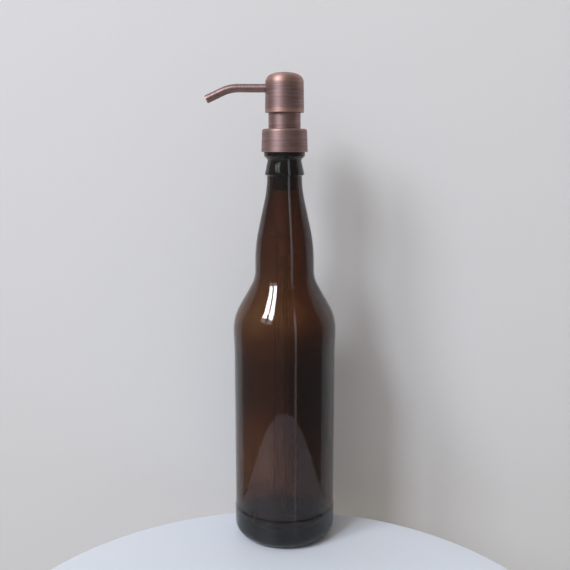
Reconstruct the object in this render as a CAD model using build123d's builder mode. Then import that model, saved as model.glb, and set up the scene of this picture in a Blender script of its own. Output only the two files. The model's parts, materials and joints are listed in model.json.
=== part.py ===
from build123d import *
import os
from math import cos, pi, radians, sin, sqrt, tan

os.makedirs("parts", exist_ok=True)

# Soap pump dispenser: a glass long-neck bottle with a metal soap pump held in its mouth by a stopper.
# Millimetres, +Z up. The origin is on the bottle's axis in the plane it stands on; the spout points to -X.

# Bottle body
band_radius = 34.1  # contact bands at the heel and the shoulder
band_proud = 0.4  # how far the bands stand out from the label panel
glass_wall = 2.9
heel_round = 9.0
bearing_width = 2.0  # flat ring that the bottle stands on
push_up = 4.5  # rise of the hollow under the base
floor_thickness = 5.0  # glass above the middle of the hollow
floor_fall = 4.0  # drop of the inner floor from its middle to the wall
floor_round = 10.0
heel_band_height = 20.6
panel_ramp = 1.6  # height of the slope between a band and the panel
ramp_round = 2.0
panel_height = 112.6

# Bottle shoulder and neck, measured between the sharp corners that the rounds then soften
shoulder_band_height = 15.7
shoulder_rise = 26.1
shoulder_round = 31.5
neck_base_radius = 19.4
neck_root_round = 20.0
neck_base_height = 21.9
neck_base_round = 109.0
neck_rise = 37.1
neck_radius = 11.4
neck_top_round = 66.0
straight_neck = 7.9

# Crown finish at the bottle's mouth
finish_height = 16.9
ring_radius = 12.9  # transfer ring under the finish
ring_slope = 0.9
ring_round = 0.8
ring_foot_round = 0.5
recess_radius = 10.9  # waist between the ring and the bead
recess_round = 1.2
bead_radius = 13.3
bead_height = 4.2
bead_undercut = 2.4
bead_round = 0.8
lip_round = 2.2
mouth_round = 0.8

# Fits between pieces
snug = 0.02  # radial play of pieces pushed together for good
running_fit = 0.05  # radial play of pieces that slide or turn
stop_gap = 0.7  # room left at the end of the stroke

# Stopper
plug_length = 26.0
rib_count = 5
rib_size = 0.7  # ribs that grip the glass
stopper_rim = 0.9  # how far the flange stays inside the bead
stopper_flange = 1.6
boss_radius = 11.0
boss_height = 6.1
gasket_thickness = 1.0

# Collar, its plastic insert and the neck sleeve
collar_drop = 1.7  # the skirt reaches this far below the lip
collar_bottom_radius = 15.0
collar_top_radius = 14.45
collar_wall = 0.8
collar_round = 1.4
insert_roof = 1.4
sleeve_radius = 10.3
sleeve_wall = 0.6
sleeve_flange = 0.6
sleeve_flange_width = 2.0
sleeve_overlap = 2.0  # the sleeve's top reaches this far into the head

# Pump chamber and dip tube
chamber_bore = 5.0
chamber_wall = 1.2
chamber_flange = 1.5
clamp_width = 0.8  # rim of the flange that the insert's roof holds down
vent_radius = 0.5
dip_radius = 2.25
dip_wall = 0.75
dip_gap = 3.0  # from the tube's mouth to the bottle's floor
dip_cut_angle = 30.0
socket_depth = 10.0
socket_wall = 1.6
seat_web = 1.2

# Valves
inlet_ball_radius = 2.4
inlet_seat_radius = 1.3
inlet_lift = 1.5
outlet_ball_radius = 1.9
outlet_seat_radius = 1.0
outlet_lift = 1.2
ball_room = 1.0  # radial room for soap to pass the inlet ball
outlet_room = 0.4
valve_play = 0.05  # left between a ball and what it closes on
cage_ledge = 0.5  # pocket wall above the inlet cone
cage_roof = 1.6
port_count = 4
port_radius = 0.7
port_margin = 0.3  # roof left between a port and the pocket's wall

# Stem, its guide and the piston
stem_radius = 3.2
stem_bore = 1.7
stem_tail_radius = 3.0
stem_tail = 3.0
stem_collar_radius = 3.9
stem_collar = 1.5
guide_length = 28.0  # from the chamber's top down to the piston's upper stop
guide_bore = 4.2
guide_rise = 6.4  # above the collar
guide_wall = 1.2
guide_roof = 2.0
seal_width = 1.8
seal_height = 1.4
piston_height = 7.0
piston_lip = 1.6
piston_waist = 0.7

# Return spring
spring_length = 24.0
spring_turns = 7
spring_wire = 0.9
wire_sides = 8
spring_radius = 3.9

# Head and spout
head_gap = 10.2  # between the collar and the head at rest
head_bottom_radius = 12.5
head_top_radius = 12.2
head_height = 25.1
head_wall = 0.8
head_edge_round = 5.5
crown_rise = 2.4
spout_rise = 15.2  # spout axis above the head's lower edge
spout_radius = 2.67
spout_wall = 0.6
spout_reach = 50.1  # from the head's axis to the middle of the tip
spout_corner = 34.9  # from the head's axis to the corner of the bend
spout_bend = 25.0
spout_bend_radius = 24.0
spout_seat = 4.5  # from the head's axis to the step that the spout's seal lies on
spout_seal_thickness = 1.0
socket_tube_wall = 2.0
outlet_web = 1.0
slot_width = 1.0
slot_depth = 0.6

# Heights of the bottle, stacked from the standing plane
panel_radius = band_radius - band_proud
panel_bottom = heel_band_height + panel_ramp
panel_top = panel_bottom + panel_height
shoulder_band_bottom = panel_top + panel_ramp
shoulder_corner = shoulder_band_bottom + shoulder_band_height
neck_root = shoulder_corner + shoulder_rise
neck_corner = neck_root + neck_base_height
neck_top = neck_corner + neck_rise
finish_bottom = neck_top + straight_neck
lip = finish_bottom + finish_height
bead_bottom = lip - bead_height
floor_top = push_up + floor_thickness
bearing_inner_radius = band_radius - heel_round - bearing_width
mouth_radius = neck_radius - glass_wall

# Heights of the pump, stacked on the lip
stopper_flange_top = lip + stopper_flange
boss_top = stopper_flange_top + boss_height
gasket_top = boss_top + gasket_thickness
chamber_top = gasket_top + chamber_flange
insert_top = chamber_top + insert_roof
collar_roof = insert_top + sleeve_flange
collar_top = collar_roof + collar_wall
collar_bottom = lip - collar_drop
guide_top = collar_top + guide_rise
head_bottom = collar_top + head_gap
head_top = head_bottom + head_height
stroke = head_gap - stop_gap
sleeve_top = head_bottom + sleeve_overlap
core_bottom = sleeve_top + stroke + stop_gap
socket_tube_bottom = guide_top + stroke + stop_gap
spout_axis = head_bottom + spout_rise
spout_bore = spout_radius - spout_wall
spout_start = spout_seat + spout_seal_thickness
stem_top = spout_axis - spout_bore - outlet_web

# Radii that pieces share
chamber_radius = chamber_bore + chamber_wall
flange_radius = boss_radius - running_fit - snug
guide_radius = sleeve_radius - sleeve_wall - running_fit
clamp_radius = flange_radius - clamp_width
stem_socket_radius = stem_radius + snug
inlet_pocket_radius = inlet_ball_radius + ball_room
outlet_pocket_radius = outlet_ball_radius + outlet_room
dip_bore = dip_radius - dip_wall
socket_radius = dip_radius + snug + socket_wall

# Heights inside the chamber, stacked down from the piston's upper stop
piston_top = chamber_top - guide_length
piston_bottom = piston_top - piston_height
spring_bottom = piston_bottom - spring_length
inlet_ball_height = sqrt(2) * inlet_ball_radius - inlet_seat_radius + valve_play
cage_pocket = inlet_ball_height + inlet_ball_radius + inlet_lift + valve_play
inlet_seat = spring_bottom - cage_roof - cage_pocket
inlet_ball_centre = inlet_seat + inlet_ball_height
cage_bottom = inlet_seat + inlet_pocket_radius - inlet_seat_radius + cage_ledge
socket_top = inlet_seat - seat_web
socket_bottom = socket_top - socket_depth
dip_bottom = floor_top + dip_gap

# Outlet valve at the top of the stem
outlet_ball_height = sqrt(2) * outlet_ball_radius - outlet_seat_radius + valve_play
outlet_seat = stem_top - outlet_ball_height - outlet_ball_radius - outlet_lift - valve_play
outlet_ball_centre = outlet_seat + outlet_ball_height


# Half section through the Z axis from corners (radius, height) or (radius, height, round)
def half_section(*corners):
    points = [corner[:2] for corner in corners]
    rounds = [corner[2] if len(corner) > 2 else 0 for corner in corners]
    with BuildSketch(Plane.XZ) as half:
        with BuildLine():
            FilletPolyline(*points, radius=rounds, close=True)
        make_face()
    return half.sketch


# Half section of a plain ring
def ring_section(inner, outer, bottom, top):
    return half_section((inner, bottom), (outer, bottom), (outer, top), (inner, top))


# Outer radius of the tapered collar at a height
def collar_radius(z):
    share = (z - collar_bottom) / (collar_top - collar_bottom)
    return collar_bottom_radius + share * (collar_top_radius - collar_bottom_radius)


# Half section of the domed head, moved in by an inset and cut off at a height
def head_section(inset, bottom):
    edge = head_top - crown_rise
    share = (bottom - head_bottom) / (edge - head_bottom)
    bottom_radius = head_bottom_radius + share * (head_top_radius - head_bottom_radius)
    with BuildSketch(Plane.XZ) as half:
        with BuildLine():
            crown = TangentArc((0, head_top - inset), (head_top_radius - inset, edge - inset), tangent=(1, 0))
            Polyline(crown @ 1, (bottom_radius - inset, bottom), (0, bottom), crown @ 0)
        make_face()
        brim = vertices().sort_by(Axis.X)[-2:].sort_by(Axis.Y)[-1]
        fillet(brim, head_edge_round - inset)
    return half.sketch


# Bottle
# Corners of the shoulder and neck: radius, height and round, with a minus on a hollow round
shoulder_and_neck = [
    (band_radius, shoulder_corner, shoulder_round),
    (neck_base_radius, neck_root, -neck_root_round),
    (neck_base_radius, neck_corner, neck_base_round),
    (neck_radius, neck_top, -neck_top_round),
]
body_corners = [
    (band_radius, 0, heel_round),
    (band_radius, heel_band_height, ramp_round),
    (panel_radius, panel_bottom, ramp_round),
    (panel_radius, panel_top, ramp_round),
    (band_radius, shoulder_band_bottom, ramp_round),
]
finish_corners = [
    (neck_radius, finish_bottom, ring_foot_round),
    (ring_radius, finish_bottom + ring_slope, ring_round),
    (recess_radius, bead_bottom - bead_undercut, recess_round),
    (bead_radius, bead_bottom, bead_round),
    (bead_radius, lip, lip_round),
    (mouth_radius, lip, mouth_round),
]
cavity_corners = [(r - glass_wall, z, turn - glass_wall) for r, z, turn in reversed(shoulder_and_neck)]
floor_corner = (band_radius - glass_wall, floor_top - floor_fall, floor_round)
glass_corners = body_corners + shoulder_and_neck + finish_corners + cavity_corners + [floor_corner]

with BuildPart() as bottle:
    with BuildSketch(Plane.XZ):
        with BuildLine():
            base = TangentArc((0, push_up), (bearing_inner_radius, 0), tangent=(1, 0))
            glass = FilletPolyline(
                base @ 1,
                *[corner[:2] for corner in glass_corners],
                (0, floor_top),
                radius=[abs(corner[2]) for corner in glass_corners],
            )
            Line(glass @ 1, base @ 0)
        make_face()
    revolve(axis=Axis.Z)
bottle.part.label = "bottle"
export_step(bottle.part, "parts/bottle.step")

# Stopper: ribbed plug in the bottle's mouth, flange on the lip and boss for the collar insert
rib_radius = mouth_radius - running_fit
rib_pitch = (plug_length - mouth_round) / rib_count
plug_radius = rib_radius - rib_size
stopper_hole = chamber_radius + snug
plug_corners = []
for rib in range(rib_count):
    rib_bottom = lip - plug_length + rib * rib_pitch
    plug_corners += [(plug_radius, rib_bottom), (rib_radius, rib_bottom + rib_pitch - rib_size)]
with BuildPart() as stopper:
    revolve(
        half_section(
            (stopper_hole, lip - plug_length),
            *plug_corners,
            (plug_radius, lip - mouth_round),
            (plug_radius, lip),
            (bead_radius - stopper_rim, lip),
            (bead_radius - stopper_rim, stopper_flange_top),
            (boss_radius, stopper_flange_top),
            (boss_radius, boss_top),
            (stopper_hole, boss_top),
        ),
        axis=Axis.Z,
    )
stopper.part.label = "stopper"
export_step(stopper.part, "parts/stopper.step")

# Gasket between the stopper's boss and the chamber's flange
with BuildPart() as chamber_gasket:
    revolve(ring_section(chamber_radius + snug, flange_radius, boss_top, gasket_top), axis=Axis.Z)
chamber_gasket.part.label = "chamber_gasket"
export_step(chamber_gasket.part, "parts/chamber_gasket.step")

# Pump chamber: flanged barrel with a ball seat and a socket for the dip tube
with BuildPart() as pump_chamber:
    revolve(
        half_section(
            (chamber_bore, chamber_top),
            (flange_radius, chamber_top),
            (flange_radius, gasket_top),
            (chamber_radius, gasket_top),
            (chamber_radius, cage_bottom),
            (socket_radius, socket_top),
            (socket_radius, socket_bottom),
            (dip_radius + snug, socket_bottom),
            (dip_radius + snug, socket_top),
            (inlet_seat_radius, socket_top),
            (inlet_seat_radius, inlet_seat),
            (inlet_pocket_radius, inlet_seat + inlet_pocket_radius - inlet_seat_radius),
            (inlet_pocket_radius, cage_bottom),
            (chamber_bore, cage_bottom),
        ),
        axis=Axis.Z,
    )
    # The vent lets air in behind the piston and is closed by it at rest
    with BuildSketch(Plane.XZ):
        with Locations((0, (piston_top + piston_bottom) / 2)):
            Circle(vent_radius)
    extrude(amount=-chamber_radius, mode=Mode.SUBTRACT)
pump_chamber.part.label = "pump_chamber"
export_step(pump_chamber.part, "parts/pump_chamber.step")

# Dip tube, cut off at a slant so that the floor can't close it
dip_slant = dip_radius * tan(radians(dip_cut_angle))
dip_cut_normal = (sin(radians(dip_cut_angle)), 0, cos(radians(dip_cut_angle)))
with BuildPart() as dip_tube:
    revolve(ring_section(dip_bore, dip_radius, dip_bottom, socket_top), axis=Axis.Z)
    split(bisect_by=Plane((0, 0, dip_bottom + dip_slant), z_dir=dip_cut_normal))
dip_tube.part.label = "dip_tube"
export_step(dip_tube.part, "parts/dip_tube.step")

# Ball cage: limits the inlet ball's lift and carries the spring
with BuildPart() as ball_cage:
    revolve(
        half_section(
            (inlet_pocket_radius, cage_bottom),
            (chamber_bore - snug, cage_bottom),
            (chamber_bore - snug, spring_bottom),
            (0, spring_bottom),
            (0, spring_bottom - cage_roof),
            (inlet_pocket_radius, spring_bottom - cage_roof),
        ),
        axis=Axis.Z,
    )
    with BuildSketch(Plane.XY.offset(spring_bottom)):
        with PolarLocations(inlet_pocket_radius - port_radius - port_margin, port_count):
            Circle(port_radius)
    extrude(amount=-cage_roof, mode=Mode.SUBTRACT)
ball_cage.part.label = "ball_cage"
export_step(ball_cage.part, "parts/ball_cage.step")

# Inlet ball on the chamber's seat
with BuildPart(Plane.XY.offset(inlet_ball_centre)) as inlet_ball:
    Sphere(inlet_ball_radius)
inlet_ball.part.label = "inlet_ball"
export_step(inlet_ball.part, "parts/inlet_ball.step")


# Return spring: point and unit direction on the helix after a number of turns
coil_rise = spring_length - spring_wire - 2 * valve_play
coil_bottom = spring_bottom + spring_wire / 2 + valve_play


def coil_point(turns):
    angle = 2 * pi * turns
    z = coil_bottom + coil_rise * turns / spring_turns
    return Vector(spring_radius * cos(angle), spring_radius * sin(angle), z)


def coil_direction(turns):
    angle = 2 * pi * turns
    rise = coil_rise / spring_turns / (2 * pi)
    return Vector(-spring_radius * sin(angle), spring_radius * cos(angle), rise).normalized()


# Middle point and middle direction of the two arcs that join two points with given directions
def biarc_joint(start, start_direction, end, end_direction):
    chord = end - start
    along = chord.dot(start_direction + end_direction)
    spread = 2 * (1 - start_direction.dot(end_direction))
    arm = (sqrt(along**2 + spread * chord.dot(chord)) - along) / spread
    first = start + start_direction * arm
    second = end - end_direction * arm
    return (first + second) * 0.5, second - first


with BuildPart() as return_spring:
    with BuildLine() as coil:
        for half_turn in range(2 * spring_turns):
            start, start_direction = coil_point(half_turn / 2), coil_direction(half_turn / 2)
            end, end_direction = coil_point((half_turn + 1) / 2), coil_direction((half_turn + 1) / 2)
            joint, joint_direction = biarc_joint(start, start_direction, end, end_direction)
            TangentArc(start, joint, tangent=start_direction)
            TangentArc(joint, end, tangent=joint_direction)
    with BuildSketch(Plane(coil_point(0), z_dir=coil_direction(0))):
        RegularPolygon(spring_wire / 2, wire_sides)
    sweep(path=coil.wire())
return_spring.part.label = "return_spring"
export_step(return_spring.part, "parts/return_spring.step")

# Least gap between neighbouring turns of the spring, on points a twentieth of a turn apart
points_per_turn = 20
point_count = spring_turns * points_per_turn
coil_points = [coil.wire().position_at(index / point_count) for index in range(point_count + 1)]
spacings = [
    (far - near).length
    for index, near in enumerate(coil_points)
    for far in coil_points[index + points_per_turn // 2 :]
]
print("least gap between spring turns, mm:", round(min(spacings) - spring_wire, 2))

# Piston with an upper and a lower sealing lip
piston_radius = chamber_bore - running_fit
piston_hole = stem_tail_radius + snug
with BuildPart() as piston:
    revolve(
        half_section(
            (piston_hole, piston_bottom),
            (piston_radius, piston_bottom),
            (piston_radius, piston_bottom + piston_lip),
            (piston_radius - piston_waist, piston_bottom + piston_lip + piston_waist),
            (piston_radius - piston_waist, piston_top - piston_lip - piston_waist),
            (piston_radius, piston_top - piston_lip),
            (piston_radius, piston_top),
            (piston_hole, piston_top),
        ),
        axis=Axis.Z,
    )
piston.part.label = "piston"
export_step(piston.part, "parts/piston.step")

# Pump stem: hollow rod with a collar on the piston and the outlet ball's pocket at its top
outlet_cone = outlet_pocket_radius - outlet_seat_radius
with BuildPart() as pump_stem:
    revolve(
        half_section(
            (stem_bore, piston_bottom - stem_tail),
            (stem_tail_radius, piston_bottom - stem_tail),
            (stem_tail_radius, piston_top),
            (stem_collar_radius, piston_top),
            (stem_collar_radius, piston_top + stem_collar),
            (stem_radius, piston_top + stem_collar),
            (stem_radius, stem_top),
            (outlet_pocket_radius, stem_top),
            (outlet_pocket_radius, outlet_seat + outlet_cone),
            (outlet_seat_radius, outlet_seat),
            (outlet_seat_radius, outlet_seat - seat_web),
            (stem_bore, outlet_seat - seat_web),
        ),
        axis=Axis.Z,
    )
pump_stem.part.label = "pump_stem"
export_step(pump_stem.part, "parts/pump_stem.step")

# Outlet ball in the top of the stem
with BuildPart(Plane.XY.offset(outlet_ball_centre)) as outlet_ball:
    Sphere(outlet_ball_radius)
outlet_ball.part.label = "outlet_ball"
export_step(outlet_ball.part, "parts/outlet_ball.step")

# Stem guide: tube in the chamber that stops the piston, and a cup that steadies the stem in the sleeve
stem_hole = stem_radius + running_fit
seal_radius = stem_hole + seal_width
with BuildPart() as stem_guide:
    revolve(
        half_section(
            (guide_bore, piston_top),
            (chamber_bore - snug, piston_top),
            (chamber_bore - snug, chamber_top),
            (clamp_radius - running_fit, chamber_top),
            (clamp_radius - running_fit, insert_top),
            (guide_radius, insert_top),
            (guide_radius, guide_top),
            (seal_radius, guide_top),
            (seal_radius, guide_top - seal_height),
            (stem_hole, guide_top - seal_height),
            (stem_hole, guide_top - guide_roof),
            (guide_radius - guide_wall, guide_top - guide_roof),
            (guide_radius - guide_wall, insert_top),
            (guide_bore, insert_top),
        ),
        axis=Axis.Z,
    )
stem_guide.part.label = "stem_guide"
export_step(stem_guide.part, "parts/stem_guide.step")

# Stem seal pushed into the guide's roof
with BuildPart() as stem_seal:
    revolve(
        half_section(
            (stem_hole, guide_top - seal_height),
            (seal_radius - snug, guide_top - seal_height),
            (seal_radius - snug, guide_top),
            (stem_hole + seal_width / 2, guide_top),
            (stem_hole, guide_top - seal_height / 2),
        ),
        axis=Axis.Z,
    )
stem_seal.part.label = "stem_seal"
export_step(stem_seal.part, "parts/stem_seal.step")

# Collar insert: screws onto the boss and holds the chamber's flange down with its roof
with BuildPart() as collar_insert:
    revolve(
        half_section(
            (boss_radius + running_fit, stopper_flange_top),
            (collar_radius(stopper_flange_top) - collar_wall - snug, stopper_flange_top),
            (collar_radius(insert_top) - collar_wall - snug, insert_top),
            (clamp_radius, insert_top),
            (clamp_radius, chamber_top),
            (boss_radius + running_fit, chamber_top),
        ),
        axis=Axis.Z,
    )
collar_insert.part.label = "collar_insert"
export_step(collar_insert.part, "parts/collar_insert.step")

# Neck sleeve: drawn tube whose flange is held between the insert and the collar's roof
with BuildPart() as neck_sleeve:
    revolve(
        half_section(
            (sleeve_radius - sleeve_wall, insert_top),
            (sleeve_radius + sleeve_flange_width, insert_top),
            (sleeve_radius + sleeve_flange_width, collar_roof),
            (sleeve_radius, collar_roof),
            (sleeve_radius, sleeve_top),
            (sleeve_radius - sleeve_wall, sleeve_top),
        ),
        axis=Axis.Z,
    )
neck_sleeve.part.label = "neck_sleeve"
export_step(neck_sleeve.part, "parts/neck_sleeve.step")

# Collar shell: tapered metal cup with a hole in its roof for the sleeve
with BuildPart() as collar_shell:
    revolve(
        half_section(
            (collar_bottom_radius - collar_wall, collar_bottom),
            (collar_bottom_radius, collar_bottom),
            (collar_top_radius, collar_top, collar_round),
            (sleeve_radius + running_fit, collar_top),
            (sleeve_radius + running_fit, collar_roof),
            (collar_radius(collar_roof) - collar_wall, collar_roof),
        ),
        axis=Axis.Z,
    )
collar_shell.part.label = "collar_shell"
export_step(collar_shell.part, "parts/collar_shell.step")

# Head shell: domed cap, open below, with a hole in its side for the spout
spout_plane = Plane((0, 0, spout_axis), x_dir=(0, 1, 0), z_dir=(-1, 0, 0))
with BuildPart() as head_shell:
    revolve(head_section(0, head_bottom), axis=Axis.Z)
    revolve(head_section(head_wall, head_bottom), axis=Axis.Z, mode=Mode.SUBTRACT)
    with BuildSketch(spout_plane):
        Circle(spout_radius + snug)
    extrude(amount=head_bottom_radius, mode=Mode.SUBTRACT)
head_shell.part.label = "head_shell"
export_step(head_shell.part, "parts/head_shell.step")

# Head core: fills the dome, sockets the stem and leads the soap from it to the spout
socket_tube_radius = stem_socket_radius + socket_tube_wall
with BuildPart() as head_core:
    revolve(head_section(head_wall + snug, core_bottom), axis=Axis.Z)
    socket_tube = ring_section(stem_socket_radius, socket_tube_radius, socket_tube_bottom, core_bottom)
    revolve(socket_tube, axis=Axis.Z)
    with BuildSketch(Plane.XY.offset(core_bottom)):
        Circle(stem_socket_radius)
    extrude(amount=stem_top - core_bottom, mode=Mode.SUBTRACT)
    # Cross slot that keeps the raised outlet ball from closing the way to the spout
    with BuildSketch(Plane.XY.offset(stem_top)):
        with PolarLocations(0, 2, angular_range=180):
            Rectangle(2 * outlet_pocket_radius, slot_width)
    extrude(amount=slot_depth, mode=Mode.SUBTRACT)
    with BuildSketch(Plane.XY.offset(stem_top)):
        Circle(outlet_ball_radius - outlet_room)
    extrude(amount=spout_axis - stem_top, mode=Mode.SUBTRACT)
    with BuildSketch(spout_plane):
        Circle(spout_bore)
    extrude(amount=spout_seat, mode=Mode.SUBTRACT)
    with BuildSketch(spout_plane.offset(spout_seat)):
        Circle(spout_radius + snug)
    extrude(amount=head_bottom_radius, mode=Mode.SUBTRACT)
head_core.part.label = "head_core"
export_step(head_core.part, "parts/head_core.step")

# Spout tube: straight out of the head, then bent down to a square-cut tip
tip_run = (spout_reach - spout_corner) / cos(radians(spout_bend))
tip_drop = tip_run * sin(radians(spout_bend))
with BuildPart() as spout_tube:
    with BuildLine(Plane.XZ) as spout_path:
        FilletPolyline(
            (-spout_start, spout_axis),
            (-spout_corner, spout_axis),
            (-spout_reach, spout_axis - tip_drop),
            radius=spout_bend_radius,
        )
    with BuildSketch(spout_plane.offset(spout_start)):
        Circle(spout_radius)
        Circle(spout_bore, mode=Mode.SUBTRACT)
    sweep(path=spout_path.wire())
spout_tube.part.label = "spout_tube"
export_step(spout_tube.part, "parts/spout_tube.step")

# Spout seal: washer between the spout's inner end and the step in the core's bore
with BuildPart() as spout_seal:
    with BuildSketch(spout_plane.offset(spout_seat)):
        Circle(spout_radius)
        Circle(spout_bore, mode=Mode.SUBTRACT)
    extrude(amount=spout_seal_thickness)
spout_seal.part.label = "spout_seal"
export_step(spout_seal.part, "parts/spout_seal.step")
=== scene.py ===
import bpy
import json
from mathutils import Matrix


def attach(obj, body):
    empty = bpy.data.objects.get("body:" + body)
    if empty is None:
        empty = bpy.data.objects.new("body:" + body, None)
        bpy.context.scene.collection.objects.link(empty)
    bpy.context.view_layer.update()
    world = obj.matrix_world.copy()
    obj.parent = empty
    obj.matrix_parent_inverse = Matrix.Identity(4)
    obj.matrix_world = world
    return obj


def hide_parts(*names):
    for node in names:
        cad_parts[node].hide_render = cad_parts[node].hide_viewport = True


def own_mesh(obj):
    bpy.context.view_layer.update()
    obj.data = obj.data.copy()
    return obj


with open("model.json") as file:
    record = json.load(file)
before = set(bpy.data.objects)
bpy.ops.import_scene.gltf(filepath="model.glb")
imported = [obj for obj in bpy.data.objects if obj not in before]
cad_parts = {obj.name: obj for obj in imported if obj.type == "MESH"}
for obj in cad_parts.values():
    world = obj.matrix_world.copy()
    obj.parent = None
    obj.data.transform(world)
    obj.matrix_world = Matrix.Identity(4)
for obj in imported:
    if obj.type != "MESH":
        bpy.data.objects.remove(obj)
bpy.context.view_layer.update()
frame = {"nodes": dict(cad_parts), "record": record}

import json
import math

import bmesh
import bpy
import numpy as np

scene = bpy.context.scene
scene.view_settings.view_transform = "Standard"
mm = 0.001
print("frame loaded:", len(frame["nodes"]), "nodes")


# sRGB hex to linear rgba
def linear(hexColour):
    srgb = np.array([int(hexColour[i:i + 2], 16) for i in (1, 3, 5)]) / 255
    return (*np.where(srgb <= 0.04045, srgb / 12.92, ((srgb + 0.055) / 1.055) ** 2.4), 1.0)


# adds a node; a socket given as an input value is linked, anything else is set on the input.
# Inputs 6 and 7 of a colour mix are its two colours.
def addNode(tree, kind, inputs=None, **settings):
    node = tree.nodes.new(kind)
    for name, value in settings.items():
        setattr(node, name, value)
    for socket, value in (inputs or {}).items():
        if isinstance(value, bpy.types.NodeSocket):
            tree.links.new(value, node.inputs[socket])
        else:
            node.inputs[socket].default_value = value
    return node


def newMaterial(name):
    material = bpy.data.materials.new(name)
    material.use_nodes = True
    material.node_tree.nodes.clear()
    return material, material.node_tree


# 0 up to start, then rising to 1 over a length; with a negative length it falls to 0 at start instead
def ramp(value, start, over):
    return np.clip((value - start) / over, 0, 1)


# Outline with rounded corners: each corner (across, along, round) gives way to the arc of its round that
# touches both its sides, and straight runs are then divided so that no step is longer than the given length
def roundedOutline(corners, longest=1.0, closed=False, arcStep=0.2):
    points = np.array([corner[:2] for corner in corners], float)
    count = len(points)
    tiny = 1e-6
    pieces = []
    for i, corner in enumerate(corners):
        fillet = corner[2] if len(corner) > 2 else 0
        if fillet == 0 or (not closed and i in (0, count - 1)):
            pieces.append(points[i:i + 1])
            continue
        before, after = points[i - 1] - points[i], points[(i + 1) % count] - points[i]
        before, after = before / np.linalg.norm(before), after / np.linalg.norm(after)
        half = math.acos(np.clip(before @ after, -1, 1)) / 2
        middle = (before + after) / np.linalg.norm(before + after)
        centre = points[i] + middle * fillet / math.sin(half)
        first = points[i] + before * fillet / math.tan(half) - centre
        last = points[i] + after * fillet / math.tan(half) - centre
        start = math.atan2(first[1], first[0])
        sweep = (math.atan2(last[1], last[0]) - start + math.pi) % (2 * math.pi) - math.pi
        steps = max(3, math.ceil(max(abs(sweep) / arcStep, abs(sweep) * fillet / longest)))
        angles = start + sweep * np.linspace(0, 1, steps + 1)
        pieces.append(centre + fillet * np.stack([np.cos(angles), np.sin(angles)], axis=1))
    path = np.vstack(pieces + ([pieces[0][:1]] if closed else []))
    lengths = np.linalg.norm(np.diff(path, axis=0), axis=1)
    path = path[np.concatenate([[True], lengths > tiny])]
    lengths = lengths[lengths > tiny]
    parts = np.maximum(1, np.ceil(lengths / longest - tiny)).astype(int)
    which = np.repeat(np.arange(len(parts)), parts)
    share = (np.arange(len(which)) - np.repeat(np.cumsum(parts) - parts, parts)) / parts[which]
    even = path[which] + share[:, None] * (path[which + 1] - path[which])
    return even if closed else np.vstack([even, path[-1:]])


# How far each point of an outline bulges: its turning per mm, spread over its neighbours, from 0 to 1
def edgeWear(outline, closed, spread=0.5, full=0.5):
    ahead = np.roll(outline, -1, axis=0) - outline
    back = outline - np.roll(outline, 1, axis=0)
    turning = np.arctan2(back[:, 0] * ahead[:, 1] - back[:, 1] * ahead[:, 0], (back * ahead).sum(1))
    if not closed:
        turning[[0, -1]] = 0
    gaps = np.linalg.norm(outline[:, None] - outline[None], axis=2)
    near = np.exp(-(gaps / spread) ** 2)
    return np.clip((near @ np.clip(turning, 0, None)) / full, 0, 1)


# Mesh of a grid of points, rows along the outline and columns round the axis. The map's u runs round once,
# and its v is the length along the outline in metres. Poles are merged and faces turned outwards.
def gridPiece(name, points, material, closed, wrap=True, wear=None):
    rows, columns = points.shape[:2]
    r, c = np.meshgrid(np.arange(rows if closed else rows - 1), np.arange(columns if wrap else columns - 1),
                       indexing="ij")
    r, c = np.stack([r, r, r + 1, r + 1], axis=-1), np.stack([c, c + 1, c + 1, c], axis=-1)
    faces = ((r % rows) * columns + c % columns).reshape(-1, 4)
    line = points[:, 0] if wrap else points.mean(1)
    steps = np.linalg.norm(np.diff(np.vstack([line, line[:1]]), axis=0), axis=1)
    along = np.concatenate([[0], np.cumsum(steps)])
    uv = np.stack([c / columns, along[r]], axis=-1).reshape(-1, 2)
    mesh = bpy.data.meshes.new(name)
    mesh.vertices.add(rows * columns)
    mesh.vertices.foreach_set("co", (points.reshape(-1, 3) * mm).ravel())
    mesh.loops.add(faces.size)
    mesh.loops.foreach_set("vertex_index", faces.ravel())
    mesh.polygons.add(len(faces))
    mesh.polygons.foreach_set("loop_start", np.arange(0, faces.size, 4))
    mesh.update(calc_edges=True)
    mesh.uv_layers.new(name="UVMap").data.foreach_set("uv", (uv * [1, mm]).ravel())
    if wear is not None:
        wear = np.broadcast_to(np.reshape(wear, (rows, -1)), (rows, columns))
        mesh.attributes.new("wear", "FLOAT", "POINT").data.foreach_set("value", wear.ravel())
    shape = bmesh.new()
    shape.from_mesh(mesh)
    bmesh.ops.remove_doubles(shape, verts=shape.verts, dist=1e-7)
    bmesh.ops.recalc_face_normals(shape, faces=shape.faces)
    shape.to_mesh(mesh)
    shape.free()
    mesh.polygons.foreach_set("use_smooth", np.ones(len(mesh.polygons), bool))
    mesh.materials.append(material)
    piece = bpy.data.objects.new(name, mesh)
    scene.collection.objects.link(piece)
    return piece


# Turned piece: the outline (radius, height) carried round the Z axis
def turned(name, outline, material, closed, columns=128, wear=None):
    angle = np.linspace(0, 2 * np.pi, columns, endpoint=False)
    radius, height = outline[:, :1], outline[:, 1:]
    points = np.stack([radius * np.cos(angle), radius * np.sin(angle), height + 0 * angle], axis=-1)
    return gridPiece(name, points, material, closed, wear=wear)


def place(piece, body, slot, *nodes):
    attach(piece, body)
    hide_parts(*nodes)


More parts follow.
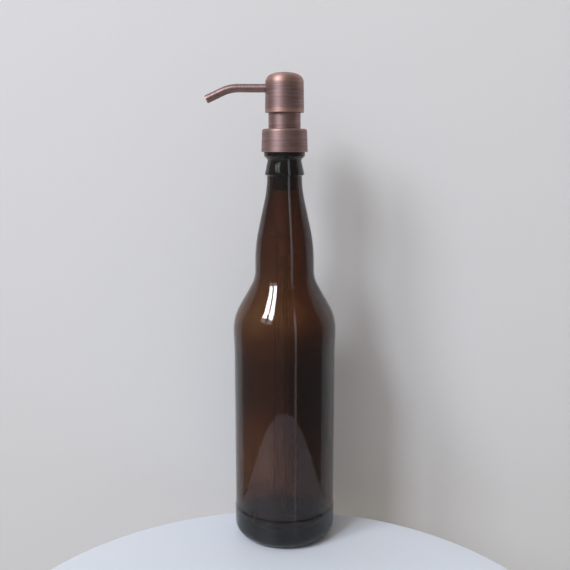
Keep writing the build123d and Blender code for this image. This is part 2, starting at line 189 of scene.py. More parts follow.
# Amber container glass, blown in a mould: brown by absorption through the wall's thickness, mirror smooth
# outside with a long soft ripple where it touched the mould, and rough and scuffed along the mould's seams,
# which are also whitened there as a painted highlight for the light that the seams catch
amberGlass, tree = newMaterial("amber_container_glass_blown")
glass = {"density": 1250.0, "absorb": "#caa457", "ior": 1.52, "rippleMm": 9.0, "rippleDepthMm": 0.06,
         "hazeMm": 30.0, "hazeRough": 0.03, "seamRough": 0.6, "seamHighlight": 0.035}
coords = addNode(tree, "ShaderNodeTexCoord").outputs["Object"]
ripple = addNode(tree, "ShaderNodeTexNoise", {
    "Vector": coords, "Scale": 1 / (glass["rippleMm"] * mm), "Detail": 1.0})
haze = addNode(tree, "ShaderNodeTexNoise", {
    "Vector": coords, "Scale": 1 / (glass["hazeMm"] * mm), "Detail": 4.0})
hazeRough = addNode(tree, "ShaderNodeMapRange", {
    "Value": haze.outputs["Fac"], "From Min": 0.35, "From Max": 0.75,
    "To Min": 0.0, "To Max": glass["hazeRough"]})
# the seams' mark, carried on the mesh: it roughens the glass there and whitens it as a painted highlight
seamScuffAndHighlightMark = addNode(tree, "ShaderNodeAttribute", attribute_name="wear").outputs["Fac"]
rough = addNode(tree, "ShaderNodeMath", {0: seamScuffAndHighlightMark, 1: glass["seamRough"], 2: hazeRough.outputs["Result"]},
                operation="MULTIPLY_ADD", use_clamp=True)
# painted highlight: along the seams a little of the transmission gives way to a white diffuse share, a light
# line that stands for the light the seam ridge reflects
clear = addNode(tree, "ShaderNodeMath", {0: seamScuffAndHighlightMark, 1: -glass["seamHighlight"], 2: 1.0}, operation="MULTIPLY_ADD")
bump = addNode(tree, "ShaderNodeBump", {
    "Height": ripple.outputs["Fac"], "Strength": 0.25, "Distance": glass["rippleDepthMm"] * mm})
shader = addNode(tree, "ShaderNodeBsdfPrincipled", {
    "Base Color": (1, 1, 1, 1), "Transmission Weight": clear.outputs[0], "IOR": glass["ior"],
    "Roughness": rough.outputs[0], "Normal": bump.outputs["Normal"]})
absorb = addNode(tree, "ShaderNodeVolumeAbsorption", {
    "Color": linear(glass["absorb"]), "Density": glass["density"]})
addNode(tree, "ShaderNodeOutputMaterial", {
    "Surface": shader.outputs["BSDF"], "Volume": absorb.outputs["Volume"]})

# Antique copper: copper plate, darkened in a bath and brushed round the axis, so fine light lines run round it
# and the dark film is worn through to salmon copper on the edges
antiqueCopper, tree = newMaterial("antique_copper_brushed")
copper = {"film": "#77605c", "line": "#b99b98", "bare": "#d8ab9c", "lineMm": 0.6, "lineDepthMm": 0.04,
          "bandMm": 4.0, "ringStretch": 0.7, "rough": (0.61, 0.47),
          "lineShare": 0.5, "bandShare": 0.2, "leastShare": 0.15,  # how much of the line's colour is mixed in
          "wornLines": 0.6, "wornLeast": 0.6}
uv = addNode(tree, "ShaderNodeSeparateXYZ", {"Vector": addNode(tree, "ShaderNodeUVMap").outputs["UV"]})
turn = addNode(tree, "ShaderNodeMath", {0: uv.outputs["X"], 1: 2 * math.pi}, operation="MULTIPLY").outputs[0]
ringX = addNode(tree, "ShaderNodeMath", {0: turn}, operation="COSINE").outputs[0]
ringY = addNode(tree, "ShaderNodeMath", {0: turn}, operation="SINE").outputs[0]
ring = addNode(tree, "ShaderNodeCombineXYZ", {"X": ringX, "Y": ringY}).outputs[0]
ring = addNode(tree, "ShaderNodeVectorMath", {0: ring, 1: (copper["ringStretch"], copper["ringStretch"], 0)},
               operation="MULTIPLY").outputs[0]
across = addNode(tree, "ShaderNodeCombineXYZ", {"Z": uv.outputs["Y"]}).outputs[0]
# the lines are drawn 0.6 mm apart, coarser than the real brush marks, so that they show
lineVector = addNode(tree, "ShaderNodeVectorMath", {0: across, 1: (0, 0, 1 / (copper["lineMm"] * mm))},
                     operation="MULTIPLY").outputs[0]
lineVector = addNode(tree, "ShaderNodeVectorMath", {0: lineVector, 1: ring}, operation="ADD").outputs[0]
lines = addNode(tree, "ShaderNodeTexNoise", {
    "Vector": lineVector, "Scale": 1.0, "Detail": 3.0, "Roughness": 0.7})
bandVector = addNode(tree, "ShaderNodeVectorMath", {0: across, 1: (0, 0, 1 / (copper["bandMm"] * mm))},
                     operation="MULTIPLY").outputs[0]
bandVector = addNode(tree, "ShaderNodeVectorMath", {0: bandVector, 1: ring}, operation="ADD").outputs[0]
bands = addNode(tree, "ShaderNodeTexNoise", {"Vector": bandVector, "Scale": 1.3, "Detail": 4.0})
lineTone = addNode(tree, "ShaderNodeMapRange", {
    "Value": lines.outputs["Fac"], "From Min": 0.3, "From Max": 0.72}).outputs[0]
bandTone = addNode(tree, "ShaderNodeMapRange", {
    "Value": bands.outputs["Fac"], "From Min": 0.3, "From Max": 0.7}).outputs[0]
bandPart = addNode(tree, "ShaderNodeMath", {0: bandTone, 1: copper["bandShare"], 2: copper["leastShare"]},
                   operation="MULTIPLY_ADD").outputs[0]
mixShare = addNode(tree, "ShaderNodeMath", {0: lineTone, 1: copper["lineShare"], 2: bandPart},
                   operation="MULTIPLY_ADD").outputs[0]
film = addNode(tree, "ShaderNodeMix", {
    "Factor": mixShare, 6: linear(copper["film"]), 7: linear(copper["line"])}, data_type="RGBA")
worn = addNode(tree, "ShaderNodeAttribute", attribute_name="wear").outputs["Fac"]
wornLines = addNode(tree, "ShaderNodeMath", {0: lineTone, 1: copper["wornLines"], 2: copper["wornLeast"]},
                    operation="MULTIPLY_ADD").outputs[0]
worn = addNode(tree, "ShaderNodeMath", {0: worn, 1: wornLines}, operation="MULTIPLY", use_clamp=True).outputs[0]
tone = addNode(tree, "ShaderNodeMix", {
    "Factor": worn, 6: film.outputs[2], 7: linear(copper["bare"])}, data_type="RGBA")
rough = addNode(tree, "ShaderNodeMapRange", {
    "Value": mixShare, "To Min": copper["rough"][0], "To Max": copper["rough"][1]})
bump = addNode(tree, "ShaderNodeBump", {
    "Height": lines.outputs["Fac"], "Strength": 0.35, "Distance": copper["lineDepthMm"] * mm})
shader = addNode(tree, "ShaderNodeBsdfPrincipled", {
    "Base Color": tone.outputs[2], "Metallic": 1.0, "Roughness": rough.outputs[0], "Anisotropic": 0.5,
    "Anisotropic Rotation": 0.25, "Normal": bump.outputs["Normal"],
    "Tangent": addNode(tree, "ShaderNodeTangent", direction_type="UV_MAP").outputs["Tangent"]})
addNode(tree, "ShaderNodeOutputMaterial", {"Surface": shader.outputs["BSDF"]})

# The other finishes differ in colour, gloss and grain only
finishes = {
    # EPDM rubber, moulded: deep grey with a soft sheen and a fine pebbled skin
    "black_rubber": {"name": "black_rubber_moulded", "low": "#101113", "high": "#1d1e20", "rough": (0.4, 0.6),
                     "grainMm": 0.5, "patchMm": 6.0, "depthMm": 0.05, "bump": 0.3, "ior": 1.52},
    # polypropylene, moulded: off-white and satin, a little clouded
    "white_plastic": {"name": "polypropylene_moulded", "low": "#d9d6cb", "high": "#ebe8de",
                      "rough": (0.3, 0.42), "grainMm": 0.8, "patchMm": 12.0, "depthMm": 0.02, "ior": 1.49},
    # polyethylene, extruded: clear and glossy, with a faint waviness
    "clear_tube": {"name": "polyethylene_tube_extruded", "low": "#f1f0ea", "high": "#fbfaf6",
                   "rough": (0.04, 0.1), "grainMm": 1.2, "patchMm": 20.0, "depthMm": 0.02, "through": 0.95,
                   "ior": 1.51},
    # elastomer, moulded: mid grey and dull
    "soft_seal": {"name": "elastomer_seal_moulded", "low": "#807e76", "high": "#96948b", "rough": (0.45, 0.6),
                  "grainMm": 0.5, "patchMm": 5.0, "depthMm": 0.03},
    # stainless steel wire, drawn: bright and slightly brushed
    "spring_steel": {"name": "stainless_wire_drawn", "low": "#a3a4a6", "high": "#c3c4c6", "rough": (0.2, 0.34),
                     "grainMm": 0.25, "patchMm": 3.0, "depthMm": 0.01, "metal": 1.0},
    # stainless steel balls, polished: close to a mirror
    "ball_steel": {"name": "stainless_ball_polished", "low": "#c6c7c9", "high": "#d6d7d9",
                   "rough": (0.05, 0.12), "grainMm": 0.3, "patchMm": 2.0, "depthMm": 0.002, "metal": 1.0},
}
finished = {"amber_glass": amberGlass, "antique_copper": antiqueCopper}
for slotName, look in finishes.items():
    finished[slotName], tree = newMaterial(look["name"])
    coords = addNode(tree, "ShaderNodeTexCoord").outputs["Object"]
    grain = addNode(tree, "ShaderNodeTexNoise", {
        "Vector": coords, "Scale": 1 / (look["grainMm"] * mm), "Detail": 2.0})
    patch = addNode(tree, "ShaderNodeTexNoise", {
        "Vector": coords, "Scale": 1 / (look["patchMm"] * mm), "Detail": 3.0})
    tone = addNode(tree, "ShaderNodeMix", {
        "Factor": patch.outputs["Fac"], 6: linear(look["low"]), 7: linear(look["high"])}, data_type="RGBA")
    rough = addNode(tree, "ShaderNodeMapRange", {
        "Value": patch.outputs["Fac"], "To Min": look["rough"][0], "To Max": look["rough"][1]})
    bump = addNode(tree, "ShaderNodeBump", {
        "Height": grain.outputs["Fac"], "Strength": look.get("bump", 0.4), "Distance": look["depthMm"] * mm})
    shader = addNode(tree, "ShaderNodeBsdfPrincipled", {
        "Base Color": tone.outputs[2], "Roughness": rough.outputs[0], "Metallic": look.get("metal", 0.0),
        "Transmission Weight": look.get("through", 0.0), "IOR": look.get("ior", 1.5),
        "Normal": bump.outputs["Normal"]})
    addNode(tree, "ShaderNodeOutputMaterial", {"Surface": shader.outputs["BSDF"]})
print("materials made:", len(finished))

# Bottle: the outline of the outside, the lip and the inside, carried round the axis. Two mould seams stand out
# as low steep-sided ridges, and the inner wall is uneven by a sum of sines in angle and height.
# Lengths are in mm, angles in degrees, and each ramp is its start and its length in height.
bottle = {"pushUp": 4.5, "pushUpRadius": 61.54, "bearingInner": 23.1, "innerRadius": 31.2, "innerFloor": 5.5,
          "floorRise": 4.0, "floorPower": 1.6, "floorShare": 0.66, "arcPoints": 14, "columns": 144,
          "seamAngles": (-77.9, 102.1), "seamHeight": 0.3, "seamWidth": 0.6, "seamRoom": 4.6,
          "seamFoot": (5.0, 6.0), "seamTop": (258.0, -2.0),
          "slopeMiddle": 168.5, "slopeHalf": 11.0, "slopeLoss": 0.9,  # the seam fades on the shoulder's slope
          "neckTurn": 2.2, "neckTurnRamp": (157.0, 18.0),
          # each sine's size, waves round the axis, mm of height to a radian, and phase
          "sines": ((1.0, 3, 40, 0.0), (0.7, 7, -55, 1.3), (0.4, 13, 30, 0.5)),
          "uneven": 0.09, "unevenFoot": (14.0, 12.0), "unevenTop": (238.0, -25.0),
          # heights at which the seam's mark is given, and the mark, which makes the seam rough and scuffed
          # and whitens it as a painted highlight
          "scuffAndHighlightZ": (8, 20, 40, 70, 90, 105, 140, 150, 160, 190, 240, 256),
          "scuffAndHighlight": (0.0, 0.38, 0.47, 0.53, 0.8, 0.8, 0.8, 2.4, 2.6, 1.9, 2.1, 1.3),
          # heights at which the wall's change is given, how much thinner it is all round, and how much
          # thicker it is right of the seams and thinner left of them
          "wallZ": (40, 60, 73, 100, 127, 140, 152, 165, 190, 240), "wallSoft": 5.0,
          "thinner": (0.12, 0.1, -0.42, -1.15, -0.72, 0.75, 1.02, 0.52, 0.4, 0.0),
          "halves": (0.3, 0.5, 0.7, 0.65, 0.48, 0.35, 0.3, 0.45, 0.25, 0.0), "halfEdge": 4.0}


# Smallest turn between each angle and a seam, going round either way
def turnFromSeam(angles):
    apart = angles[:, None] - np.radians(bottle["seamAngles"])
    return np.abs((apart + np.pi) % (2 * np.pi) - np.pi).min(1)


# the hollow under the base is an arc with its top on the axis, and the floor inside rises to the axis by a
# power of the radius
hollow = bottle["pushUpRadius"]
baseSwing = np.linspace(0, math.asin(bottle["bearingInner"] / hollow), bottle["arcPoints"])[:-1]
baseCorners = [(hollow * math.sin(t), bottle["pushUp"] - hollow * (1 - math.cos(t))) for t in baseSwing]
outerCorners = baseCorners + [
    (bottle["bearingInner"], 0, 1.5), (34.1, 0, 9.0), (34.1, 20.6, 2.0), (33.7, 22.2, 1.5), (33.7, 131.6, 12.0),
    (34.1, 139.6, 12.0), (34.1, 152.1, 31.5), (19.4, 178.2, 20.0), (19.4, 200.1, 109.0), (11.4, 237.2, 66.0),
    (11.4, 245.1, 0.5), (12.9, 246.0, 0.8), (10.9, 255.4, 1.2), (13.3, 257.8, 0.8), (13.3, 262.0, 2.2),
    (8.5, 262.0, 0.8)]
innerCorners = [
    (8.5, 237.2, 68.9), (16.5, 200.1, 106.1), (16.5, 178.2, 22.9), (bottle["innerRadius"], 152.1, 28.6),
    (bottle["innerRadius"], bottle["innerFloor"], 10.0)]
floorCorners = [
    (bottle["innerRadius"] * s, bottle["innerFloor"] + bottle["floorRise"] * (1 - s ** bottle["floorPower"]))
    for s in np.linspace(bottle["floorShare"], 0, bottle["arcPoints"])]
glassOutline = roundedOutline(outerCorners + innerCorners + floorCorners, longest=2.2)

# columns stand close together beside each seam, where the ridge is steep
seamSteps = np.radians([0, 0.2, 0.35, 0.45, 0.54, 0.62, 0.7, 0.78, 0.87, 0.98, 1.1, 1.25, 1.4, 1.6, 1.9, 2.2,
                        2.6, 3.6])
seamColumns = np.radians(bottle["seamAngles"])[:, None] + np.concatenate([-seamSteps[:0:-1], seamSteps])
plain = np.linspace(0, 2 * np.pi, bottle["columns"], endpoint=False)
plain = plain[turnFromSeam(plain) > np.radians(bottle["seamRoom"])]
angle = np.sort(np.concatenate([plain, seamColumns.ravel() % (2 * np.pi)]))
radius, height = glassOutline[:, :1], glassOutline[:, 1:]
lipRow = int(np.argmax(glassOutline[:, 1]))
inside = np.arange(len(glassOutline))[:, None] > lipRow
seamFade = ramp(height, *bottle["seamFoot"]) * ramp(height, *bottle["seamTop"])
onSlope = np.exp(-((height - bottle["slopeMiddle"]) / bottle["slopeHalf"]) ** 4)
seamFade = seamFade * (1 - bottle["slopeLoss"] * onSlope)
seam = np.exp(-(radius * turnFromSeam(angle) / bottle["seamWidth"]) ** 4) * seamFade * ~inside

# the wall's thickness changes with height, softened over 5 mm, and differs between the mould's two halves
waves = sum(size * np.sin(count * angle + height / length + phase)
            for size, count, length, phase in bottle["sines"])
levels = np.arange(0.0, 263.0)
near = np.exp(-((height - levels) / bottle["wallSoft"]) ** 2)
thinner, halves = (
    near @ np.interp(levels, bottle["wallZ"], bottle[change])[:, None] / near.sum(1, keepdims=True)
    for change in ("thinner", "halves"))
mouldHalf = np.tanh(bottle["halfEdge"] * np.sin(angle - math.radians(bottle["seamAngles"][0])))
waves = bottle["uneven"] * waves + thinner - halves * mouldHalf
waves = waves * inside * ramp(height, *bottle["unevenFoot"]) * ramp(height, *bottle["unevenTop"])
spread = radius + bottle["seamHeight"] * seam + waves
# the neck's mould halves met a little further round than the body's, so the grid turns across the shoulder
angle = angle + math.radians(bottle["neckTurn"]) * ramp(height, *bottle["neckTurnRamp"])
points = np.stack([spread * np.cos(angle), spread * np.sin(angle), height + 0 * angle], axis=-1)
# the seams' mark: rough and scuffed, and whitened in the glass as a painted highlight
seamScuffAndHighlight = seam * np.interp(height, bottle["scuffAndHighlightZ"], bottle["scuffAndHighlight"])
bottleGlass = gridPiece("bottle_glass", points, amberGlass, closed=False, wear=seamScuffAndHighlight)
place(bottleGlass, "bottle", "amber_glass", "bottle")
print("bottle:", len(bottleGlass.data.polygons), "faces")

# Stopper: ribbed plug, flange and boss, all one turned outline. Each rib widens upwards from its root.
stopper = {"hole": 6.22, "bottom": 236.0, "lip": 262.0, "ribs": 5, "ribRadius": 8.45, "rootRadius": 7.75,
           "ribDrop": 0.7, "topGap": 0.8, "flangeRadius": 12.4, "flangeTop": 263.6, "bossRadius": 11.0,
           "bossTop": 269.7, "columns": 96}
ribPitch = (stopper["lip"] - stopper["topGap"] - stopper["bottom"]) / stopper["ribs"]
ribFoot = stopper["bottom"] + ribPitch * np.arange(stopper["ribs"])
ribCorners = [corner for z in ribFoot for corner in (
    (stopper["rootRadius"], z, 0.15), (stopper["ribRadius"], z + ribPitch - stopper["ribDrop"], 0.2))]
stopperOutline = roundedOutline(
    [(stopper["hole"], stopper["bottom"], 0.1)] + ribCorners +
    [(stopper["rootRadius"], stopper["lip"] - stopper["topGap"], 0.1),
     (stopper["rootRadius"], stopper["lip"], 0.1),
     (stopper["flangeRadius"], stopper["lip"], 0.2), (stopper["flangeRadius"], stopper["flangeTop"], 0.4),
     (stopper["bossRadius"], stopper["flangeTop"], 0.15), (stopper["bossRadius"], stopper["bossTop"], 0.2),
     (stopper["hole"], stopper["bossTop"], 0.1)], longest=1.5, closed=True, arcStep=0.4)
stopperPlug = turned("stopper_plug", stopperOutline, finished["black_rubber"], True, stopper["columns"])
place(stopperPlug, "pump", "black_rubber", "stopper")

# Collar: drawn cup with a rolled shoulder and a thin worn lower rim
collar = {"bottom": 260.3, "top": 275.0, "bottomRadius": 15.0, "topRadius": 14.45, "innerTopRadius": 13.68,
          "wall": 0.8, "round": 1.4, "hole": 10.35, "wear": 0.25}
collarOutline = roundedOutline([
    (collar["bottomRadius"] - collar["wall"], collar["bottom"], 0.2),
    (collar["bottomRadius"], collar["bottom"], 0.3),
    (collar["topRadius"], collar["top"], collar["round"]),
    (collar["hole"], collar["top"], 0.2), (collar["hole"], collar["top"] - collar["wall"], 0.2),
    (collar["innerTopRadius"], collar["top"] - collar["wall"], 0.6)], longest=0.8, closed=True)
collarWear = collar["wear"] * edgeWear(collarOutline, True)
collarCup = turned("collar_cup", collarOutline, antiqueCopper, True, wear=collarWear)
place(collarCup, "pump", "antique_copper", "collar_shell")

# Sleeve: drawn tube with a flange that the collar holds
sleeve = {"radius": 10.3, "wall": 0.6, "flangeRadius": 12.3, "bottom": 273.6, "flange": 0.6, "top": 287.2}
sleeveOutline = roundedOutline([
    (sleeve["radius"] - sleeve["wall"], sleeve["bottom"], 0.15),
    (sleeve["flangeRadius"], sleeve["bottom"], 0.15),
    (sleeve["flangeRadius"], sleeve["bottom"] + sleeve["flange"], 0.15),
    (sleeve["radius"], sleeve["bottom"] + sleeve["flange"], 0.15), (sleeve["radius"], sleeve["top"], 0.2),
    (sleeve["radius"] - sleeve["wall"], sleeve["top"], 0.2)], longest=0.8, closed=True)
sleeveTube = turned("sleeve_tube", sleeveOutline, antiqueCopper, True, wear=edgeWear(sleeveOutline, True))
place(sleeveTube, "pump", "antique_copper", "neck_sleeve")

# Head: domed cap, rubbed where fingers meet its lower rim
head = {"bottom": 285.2, "top": 310.3, "bottomRadius": 12.5, "topRadius": 12.2, "wall": 0.8, "brimRound": 5.5,
        "rimRound": 0.25, "crownRise": 2.4, "crownShare": 0.5, "crownPoints": 12,
        "rimWear": 0.75, "rimWearMm": 2.2, "brimWearMm": 1.5, "brimWearFull": 0.75}


# The cap's corners, inset by the wall or not: the crown is an arc with its top on the axis, of which the inner
# share is drawn, and the brim's round joins it to the side
def capCorners(inset):
    across, rise = head["topRadius"] - inset, head["crownRise"]
    crown = (across ** 2 + rise ** 2) / (2 * rise)
    swing = np.linspace(0, math.asin(across / crown) * head["crownShare"], head["crownPoints"])
    arc = [(crown * math.sin(t), head["top"] - inset - crown * (1 - math.cos(t))) for t in swing]
    brim = (across, head["top"] - inset - rise, head["brimRound"] - inset)
    return arc + [brim, (head["bottomRadius"] - inset, head["bottom"], head["rimRound"])]


headOutline = roundedOutline(capCorners(0) + capCorners(head["wall"])[::-1], longest=0.8)
rimWear = head["rimWear"] * np.exp(-((headOutline[:, 1] - head["bottom"]) / head["rimWearMm"]) ** 2)
brimWear = edgeWear(headOutline, False, spread=head["brimWearMm"], full=head["brimWearFull"])
headDome = turned("head_dome", headOutline, antiqueCopper, False, wear=np.clip(brimWear + rimWear, 0, 1))
place(headDome, "head", "antique_copper", "head_shell")

# Spout: the tube's wall as an outline (radius, length along the path), carried round a path that runs straight
# out of the head, bends down on an arc and runs straight to the tip
spout = {"radius": 2.67, "bore": 2.07, "startX": -5.5, "axisZ": 300.4, "straight": 24.08, "bend": 25.0,
         "bendRadius": 24.0, "tipRun": 11.45, "columns": 64}
bendLength = spout["bendRadius"] * math.radians(spout["bend"])
spoutLength = spout["straight"] + bendLength + spout["tipRun"]
spoutOutline = roundedOutline([
    (spout["bore"], 0, 0.1), (spout["radius"], 0, 0.1), (spout["radius"], spoutLength, 0.18),
    (spout["bore"], spoutLength, 0.18)], longest=0.9, closed=True)
ringRadius, reach = spoutOutline[:, :1], spoutOutline[:, 1:]
lean = np.clip((reach - spout["straight"]) / spout["bendRadius"], 0, math.radians(spout["bend"]))
beyond = np.clip(reach - spout["straight"] - bendLength, 0, None)
pathX = (spout["startX"] - np.minimum(reach, spout["straight"]) - spout["bendRadius"] * np.sin(lean)
         - beyond * np.cos(lean))
pathZ = spout["axisZ"] - spout["bendRadius"] * (1 - np.cos(lean)) - beyond * np.sin(lean)
angle = np.linspace(0, 2 * np.pi, spout["columns"], endpoint=False)
up, side = ringRadius * np.cos(angle), ringRadius * np.sin(angle)
points = np.stack([pathX - up * np.sin(lean), side, pathZ + up * np.cos(lean)], axis=-1)
spoutTube = gridPiece("spout_bent_tube", points, antiqueCopper, True, wear=edgeWear(spoutOutline, True))
place(spoutTube, "head", "antique_copper", "spout_tube")
print("metal pieces made")

# Return spring: a round wire carried along a helix, its ends drawn in over a short share to close them.
# Its foot is in metres, and keep is its length at full press over its length at rest.
spring = {"bottom": 213.7, "rise": 23.0, "turns": 7, "radius": 3.9, "wire": 0.45, "stepsPerTurn": 36,
          "columns": 14, "endShare": 0.0025, "foot": 0.2132, "keep": 14.5 / 24}
along = np.linspace(0, 1, spring["turns"] * spring["stepsPerTurn"] + 1)[:, None]
fromEnd = np.clip(1 - np.minimum(along, 1 - along) / spring["endShare"], 0, 1)
endCap = np.sqrt(np.clip(1 - fromEnd ** 2, 0, 1))
swing = 2 * np.pi * spring["turns"] * along
slope = spring["rise"] / (2 * np.pi * spring["turns"] * spring["radius"])
angle = np.linspace(0, 2 * np.pi, spring["columns"], endpoint=False)
outward, upward = spring["wire"] * endCap * np.cos(angle), spring["wire"] * endCap * np.sin(angle)
ringWay = spring["radius"] + outward
points = np.stack([ringWay * np.cos(swing) + slope * upward * np.sin(swing),
                   ringWay * np.sin(swing) - slope * upward * np.cos(swing),
                   spring["bottom"] + spring["rise"] * along + upward], axis=-1)
springCoil = gridPiece("spring_coil", points, finished["spring_steel"], False)
place(springCoil, "pump", "spring_steel", "return_spring")
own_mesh(springCoil)

# Every node that stays in view takes the finish of its slot
for part in frame["record"]["subparts"]:
    frame["nodes"][part["node"]].material_slots[0].material = finished[part["material_slot"]]
print("spring made, CAD nodes finished")

# Table: round top of honed pale stone, a turned outline off the bottle's axis
table = {"centre": (-3.0, -141.8), "radius": 170.8, "thick": 20.0, "round": 3.0, "columns": 160,
         "colour": "#d9dde4", "cloudMm": 71.43, "rough": (0.4, 0.55)}
tableTop, tree = newMaterial("pale_stone_honed")
coords = addNode(tree, "ShaderNodeTexCoord").outputs["Object"]
cloud = addNode(tree, "ShaderNodeTexNoise", {
    "Vector": coords, "Scale": 1 / (table["cloudMm"] * mm), "Detail": 4.0})
rough = addNode(tree, "ShaderNodeMapRange", {
    "Value": cloud.outputs["Fac"], "To Min": table["rough"][0], "To Max": table["rough"][1]})
shader = addNode(tree, "ShaderNodeBsdfPrincipled", {
    "Base Color": linear(table["colour"]), "Roughness": rough.outputs[0]})
addNode(tree, "ShaderNodeOutputMaterial", {"Surface": shader.outputs["BSDF"]})
tableOutline = roundedOutline([
    (0, 0), (table["radius"], 0, table["round"]), (table["radius"], -table["thick"], table["round"]),
    (0, -table["thick"])], longest=12.0)
angle = np.linspace(0, 2 * np.pi, table["columns"], endpoint=False)
points = np.stack([table["centre"][0] + tableOutline[:, :1] * np.cos(angle),
                   table["centre"][1] + tableOutline[:, :1] * np.sin(angle),
                   tableOutline[:, 1:] + 0 * angle], axis=-1)
gridPiece("table_top", points, tableTop, False)

# Wall: painted plaster close behind the table, seen from its front only
backdrop = {"y": 63.0, "x": (-1500, 1500), "z": (-900, 1700), "colour": "#dfdedf", "grainMm": 3.846,
            "grainDepthMm": 0.6}
wallPaint, tree = newMaterial("painted_plaster")
coords = addNode(tree, "ShaderNodeTexCoord").outputs["Object"]
grain = addNode(tree, "ShaderNodeTexNoise", {
    "Vector": coords, "Scale": 1 / (backdrop["grainMm"] * mm), "Detail": 4.0})
bump = addNode(tree, "ShaderNodeBump", {
    "Height": grain.outputs["Fac"], "Strength": 0.25, "Distance": backdrop["grainDepthMm"] * mm})
shader = addNode(tree, "ShaderNodeBsdfPrincipled", {
    "Base Color": linear(backdrop["colour"]), "Roughness": 0.9, "Normal": bump.outputs["Normal"]})
openBack = addNode(tree, "ShaderNodeMixShader", {
    0: addNode(tree, "ShaderNodeNewGeometry").outputs["Backfacing"], 1: shader.outputs["BSDF"],
    2: addNode(tree, "ShaderNodeBsdfTransparent").outputs[0]})
addNode(tree, "ShaderNodeOutputMaterial", {"Surface": openBack.outputs[0]})
wallX, wallZ = np.meshgrid(np.linspace(*backdrop["x"], 3), np.linspace(*backdrop["z"], 3), indexing="ij")
points = np.stack([wallX, 0 * wallX + backdrop["y"], wallZ], axis=-1)
wall = gridPiece("wall", points, wallPaint, False, wrap=False)
if wall.data.polygons[0].normal.y > 0:  # its front is towards the bottle
    wall.data.flip_normals()

# Dark card round the front, part of a sphere, and a flag at the left end of the wall, as in a studio for glass:
# only reflections see them. The card is brighter towards the left.
cards = {"colour": "#cdcac6", "glow": 0.36, "glowLeft": 0.2, "leftward": (-0.87, -0.5, 0), "leftFull": 0.78,
         "radius": 4000, "turn": 100, "lift": 75, "flagX": -225.0, "flagY": (-60, 62.5), "flagZ": (-150, 500)}
darkCard, tree = newMaterial("dark_card")
coords = addNode(tree, "ShaderNodeTexCoord").outputs["Object"]
coords = addNode(tree, "ShaderNodeVectorMath", {0: coords}, operation="NORMALIZE").outputs["Vector"]
leftward = addNode(tree, "ShaderNodeVectorMath", {0: coords, 1: cards["leftward"]},
                   operation="DOT_PRODUCT").outputs["Value"]
brighter = addNode(tree, "ShaderNodeMapRange", {
    "Value": leftward, "From Max": cards["leftFull"], "To Min": cards["glow"],
    "To Max": cards["glow"] + cards["glowLeft"]}, interpolation_type="SMOOTHSTEP")
glow = addNode(tree, "ShaderNodeEmission", {"Color": linear(cards["colour"]), "Strength": brighter.outputs[0]})
addNode(tree, "ShaderNodeOutputMaterial", {"Surface": glow.outputs[0]})
cardTurn, cardLift = np.meshgrid(np.radians(np.linspace(-cards["turn"], cards["turn"], 41)),
                                 np.radians(np.linspace(-cards["lift"], cards["lift"], 31)), indexing="ij")
card = cards["radius"] * np.stack([np.sin(cardTurn) * np.cos(cardLift), -np.cos(cardTurn) * np.cos(cardLift),
                                   np.sin(cardLift)], axis=-1)
flagY, flagZ = np.meshgrid(np.linspace(*cards["flagY"], 3), np.linspace(*cards["flagZ"], 3), indexing="ij")
flag = np.stack([0 * flagY + cards["flagX"], flagY, flagZ], axis=-1)
for name, grid in (("dark_card", card), ("dark_flag", flag)):
    sheet = gridPiece(name, grid, darkCard, False, wrap=False)
    sheet.visible_camera = sheet.visible_diffuse = sheet.visible_transmission = sheet.visible_shadow = False

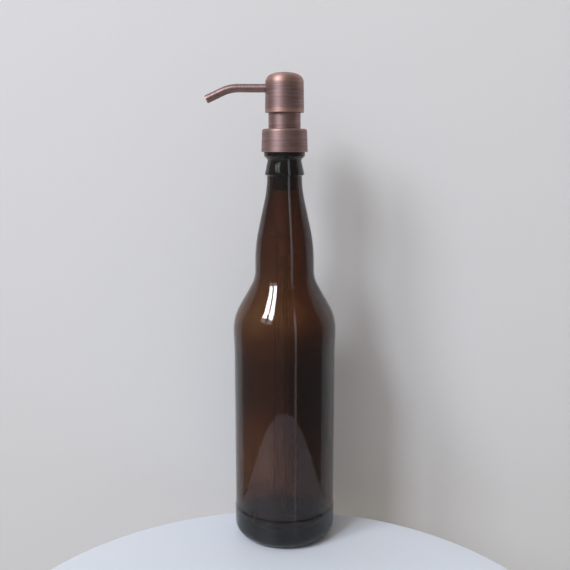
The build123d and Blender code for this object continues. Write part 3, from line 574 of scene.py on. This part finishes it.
# Window: two tall panes high on the left in front, the sky bright in them and the ground below it dim, and the
# light thrown back by the room. Each part has its lowest and highest z in metres and its watts.
window = {"turn": 45.5, "away": 2.5, "wide": 0.55, "gap": 0.19, "colour": "#eff5ff", "bounceWide": 3.0,
          "sky": (1.72, 2.841, 54.0), "ground": (1.12, 1.66, 2.5), "bounce": (0.8, 3.4, 23.8)}
aim = np.array([-math.sin(math.radians(window["turn"])), -math.cos(math.radians(window["turn"])), 0])
sideways = np.array([aim[1], -aim[0], 0])
paneStep = (window["wide"] + window["gap"]) / 2
for part, sign in (("sky", -1), ("sky", 1), ("ground", -1), ("ground", 1), ("bounce", 0)):
    low, high, power = window[part]
    light = bpy.data.lights.new(f"window_{part}_{sign}", "AREA")
    light.shape, light.size_y = "RECTANGLE", high - low
    light.size = window["wide"] if sign else window["bounceWide"]
    light.energy, light.color = power, linear(window["colour"])[:3]
    pane = bpy.data.objects.new(light.name, light)
    pane.location = window["away"] * aim + [0, 0, (low + high) / 2] + sideways * sign * paneStep
    pane.rotation_euler = (math.radians(90), 0, math.radians(-window["turn"]))
    pane.visible_camera = False
    pane.visible_glossy = sign != 0  # the room's light softens shadows only
    scene.collection.objects.link(pane)

# Room: a pale surround where it is seen directly, in metal or through glass, and a dimmer warm fill elsewhere
room = {"warm": "#ece4d9", "pale": "#e6e8ee", "ambient": 0.42, "seen": 0.85}
world = bpy.data.worlds.new("pale_room")
scene.world = world
world.use_nodes = True
tree = world.node_tree
tree.nodes.clear()
rays = addNode(tree, "ShaderNodeLightPath").outputs
seen = addNode(tree, "ShaderNodeMath", {0: rays["Is Camera Ray"], 1: rays["Is Glossy Ray"]},
               operation="MAXIMUM").outputs[0]
seen = addNode(tree, "ShaderNodeMath", {0: seen, 1: rays["Is Transmission Ray"]},
               operation="MAXIMUM").outputs[0]
strength = addNode(tree, "ShaderNodeMapRange", {
    "Value": seen, "To Min": room["ambient"], "To Max": room["seen"]})
tint = addNode(tree, "ShaderNodeMix", {
    "Factor": seen, 6: linear(room["warm"]), 7: linear(room["pale"])}, data_type="RGBA")
sky = addNode(tree, "ShaderNodeBackground", {"Color": tint.outputs[2], "Strength": strength.outputs[0]})
addNode(tree, "ShaderNodeOutputWorld", {"Surface": sky.outputs[0]})

# Camera: in line with the bottle, at the height of its lip and looking down a little
view = {"lens": 49.58, "sensor": 36.0, "place": (0.0003, -0.5138, 0.2620), "pitch": 80.2}
camera = bpy.data.objects.new("camera", bpy.data.cameras.new("camera"))
camera.data.lens, camera.data.sensor_width = view["lens"], view["sensor"]
camera.location, camera.rotation_euler = view["place"], (math.radians(view["pitch"]), 0, 0)
scene.collection.objects.link(camera)
scene.camera = camera
print("stage, light and camera set")

bpy.context.view_layer.update()
